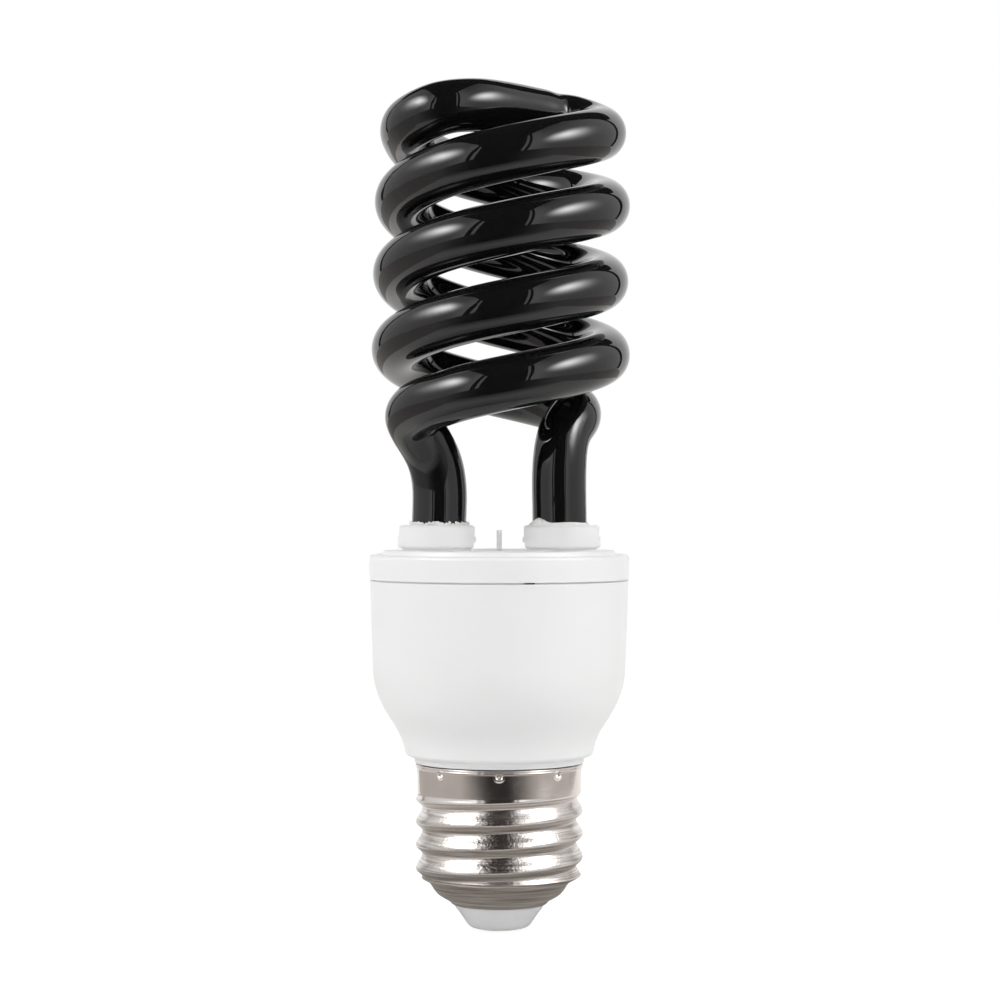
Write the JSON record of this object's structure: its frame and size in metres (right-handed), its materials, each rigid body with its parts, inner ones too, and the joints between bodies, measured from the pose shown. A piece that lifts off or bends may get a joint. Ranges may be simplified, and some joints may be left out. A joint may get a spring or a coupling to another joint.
{
  "type": "uv black light bulb",
  "caption": "Compact fluorescent lamp with a black-glass double-spiral tube, a white ballast housing and a screw cap.",
  "frame": {"origin": "bottom of the centre contact, on the lamp's axis", "axes": "+Z along the axis from the cap to the top of the spiral; the tube's two legs stand on the X axis"},
  "size_m": [0.0409, 0.0408, 0.1325],
  "materials": {
    "black_glass": "gloss",
    "cement": "matte",
    "white_plastic": "satin",
    "nickel_plate": "satin",
    "insulator_glass": "gloss",
    "board": "satin",
    "ferrite": "matte",
    "bobbin_plastic": "matte",
    "enamelled_copper": "satin",
    "film_dip": "gloss",
    "can_sleeve": "gloss",
    "black_epoxy": "matte",
    "diode_glass": "gloss",
    "resistor_lacquer": "satin",
    "tinned_wire": "satin"
  },
  "bodies": {
    "root": {"spiral_tube": "black_glass", "tube_cement_left": "cement", "tube_cement_right": "cement", "tube_holder": "white_plastic", "ballast_housing": "white_plastic", "screw_shell": "nickel_plate", "centre_contact": "nickel_plate", "cap_insulator": "insulator_glass", "circuit_board": "board", "choke_core": "ferrite", "drive_ring_core": "ferrite", "choke_bobbin": "bobbin_plastic", "choke_winding": "enamelled_copper", "drive_ring_windings": "enamelled_copper", "resonance_capacitor": "film_dip", "coupling_capacitor": "film_dip", "smoothing_capacitor": "can_sleeve", "transistor_1": "black_epoxy", "transistor_2": "black_epoxy", "rectifier_diode_1": "black_epoxy", "rectifier_diode_2": "black_epoxy", "rectifier_diode_3": "black_epoxy", "rectifier_diode_4": "black_epoxy", "trigger_diode": "diode_glass", "resistor_1": "resistor_lacquer", "resistor_2": "resistor_lacquer", "resistor_3": "resistor_lacquer", "fuse_resistor": "resistor_lacquer", "shell_lead": "tinned_wire", "wrap_pins": "tinned_wire", "filament_leads": "tinned_wire"}
  },
  "joints": []
}
